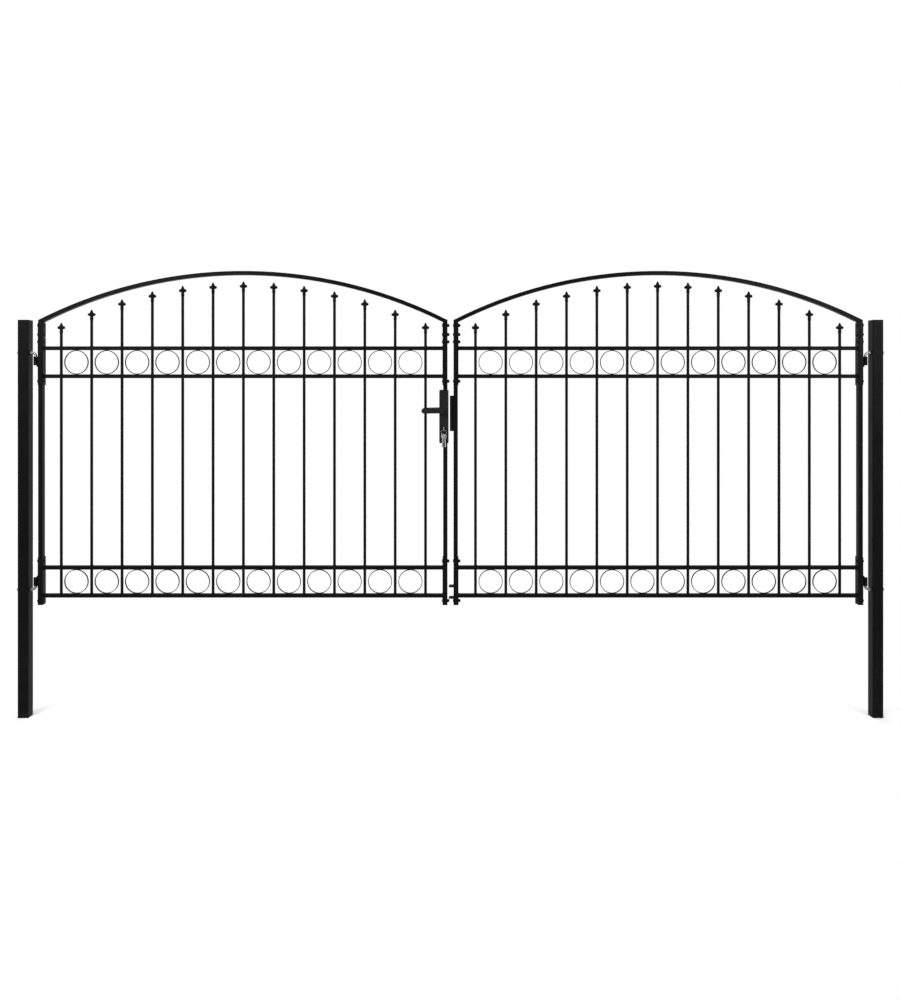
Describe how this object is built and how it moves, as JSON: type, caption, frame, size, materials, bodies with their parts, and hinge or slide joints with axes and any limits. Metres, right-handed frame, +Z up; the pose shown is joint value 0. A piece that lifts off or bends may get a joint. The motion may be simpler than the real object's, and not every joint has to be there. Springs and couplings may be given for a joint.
{
  "type": "arched double gate",
  "caption": "Arched double gate of black coated steel tube, with round pickets, spear points and ring rows, a lever lock, and leaves hung on hook bolts between square posts.",
  "frame": {"origin": "centre of the left post's foot, on the flat lower face of its foot plug", "axes": "+X along the closed gate from the left post to the right one, -Y towards the front, +Z up along the posts"},
  "size_m": [4.026, 0.125, 2.0668],
  "materials": {
    "black_coat": "satin black powder coat",
    "black_plastic": "moulded, fine grain",
    "zinc_plate": "bright zinc plate",
    "lock_black": "satin black enamel",
    "nickel_plate": "satin nickel plate"
  },
  "bodies": {
    "posts": {"left_post": "black_coat", "right_post": "black_coat", "left_post_plugs": "black_plastic", "right_post_plugs": "black_plastic", "left_hook_bolts": "zinc_plate", "right_hook_bolts": "zinc_plate", "left_hook_nuts": "zinc_plate", "right_hook_nuts": "zinc_plate"},
    "left_leaf": {"left_hinge_stile": "black_coat", "left_lock_stile": "black_coat", "left_stile_plugs": "black_plastic", "left_arch": "black_coat", "left_arch_legs": "black_coat", "left_rail_channels": "black_coat", "left_upper_rails": "black_coat", "left_lower_rails": "black_coat", "left_pickets": "black_coat", "left_spear_points": "black_coat", "left_upper_rings": "black_coat", "left_lower_rings": "black_coat", "left_hinge_sleeves": "black_coat", "lock_case": "lock_black", "lock_front_plate": "lock_black", "lock_back_plate": "lock_black", "lock_cylinder": "lock_black", "latch_bolt": "nickel_plate", "cylinder_key": "nickel_plate", "key_ring": "nickel_plate", "spare_keys": "nickel_plate"},
    "right_leaf": {"right_hinge_stile": "black_coat", "right_lock_stile": "black_coat", "right_stile_plugs": "black_plastic", "right_arch": "black_coat", "right_arch_legs": "black_coat", "right_rail_channels": "black_coat", "right_upper_rails": "black_coat", "right_lower_rails": "black_coat", "right_pickets": "black_coat", "right_spear_points": "black_coat", "right_upper_rings": "black_coat", "right_lower_rings": "black_coat", "right_hinge_sleeves": "black_coat", "keeper": "black_coat", "drop_bolt_eyes": "black_coat"},
    "handle": {"front_lever": "lock_black", "back_lever": "lock_black", "lever_spindle": "zinc_plate"}
  },
  "joints": [
    {"name": "left_leaf_swing", "type": "hinge", "parent": "posts", "child": "left_leaf", "pos_m": [0.0485, 0, 0.605], "axis": [0, 0, 1], "range_deg": [-90, 90]},
    {"name": "right_leaf_swing", "type": "hinge", "parent": "posts", "child": "right_leaf", "pos_m": [3.9015, 0, 0.605], "axis": [0, 0, -1], "range_deg": [-90, 90]},
    {"name": "lever_press", "type": "hinge", "parent": "left_leaf", "child": "handle", "pos_m": [1.9445, 0, 1.421], "axis": [0, -1, 0], "range_deg": [0, 40], "stiffness_Nm_per_rad": 1.5, "springref_deg": -20.05}
  ]
}
